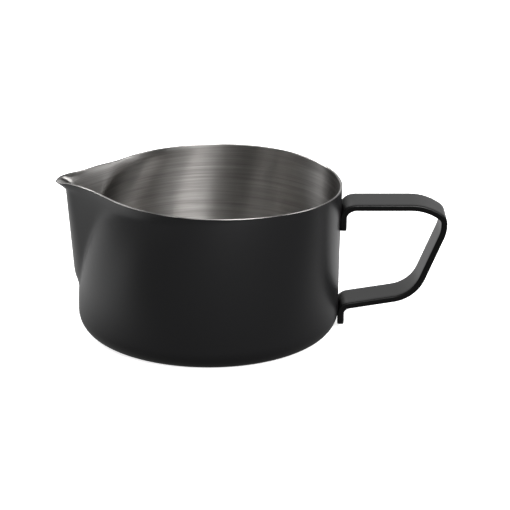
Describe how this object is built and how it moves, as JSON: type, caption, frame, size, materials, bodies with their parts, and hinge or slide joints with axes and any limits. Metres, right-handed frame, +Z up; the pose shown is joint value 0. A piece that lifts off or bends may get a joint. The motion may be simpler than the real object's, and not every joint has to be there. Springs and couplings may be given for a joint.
{
  "type": "milk frothing pitcher",
  "caption": "Low steel frothing pitcher with a pressed pouring spout and curled lip, a coated outside, a bare rim and a bent strap handle spot-welded at both ends.",
  "frame": {"origin": "centre of the round base, on the surface the pitcher stands on", "axes": "+Z up, -X the way the spout pours, +X the way the handle stands out; the pitcher is the same on both sides of the plane of X and Z"},
  "size_m": [0.1488, 0.1, 0.0597],
  "materials": {
    "vessel_steel": "bare stainless steel, brushed round the inside",
    "vessel_coat": "matte black powder coat",
    "handle_coat": "matte black powder coat over bent steel strip",
    "weld_steel": "fused spot-weld nuggets"
  },
  "bodies": {
    "root": {"vessel_body": "vessel_steel", "outer_coat": "vessel_coat", "handle": "handle_coat", "upper_spot_welds": "weld_steel", "lower_spot_welds": "weld_steel"}
  },
  "joints": []
}
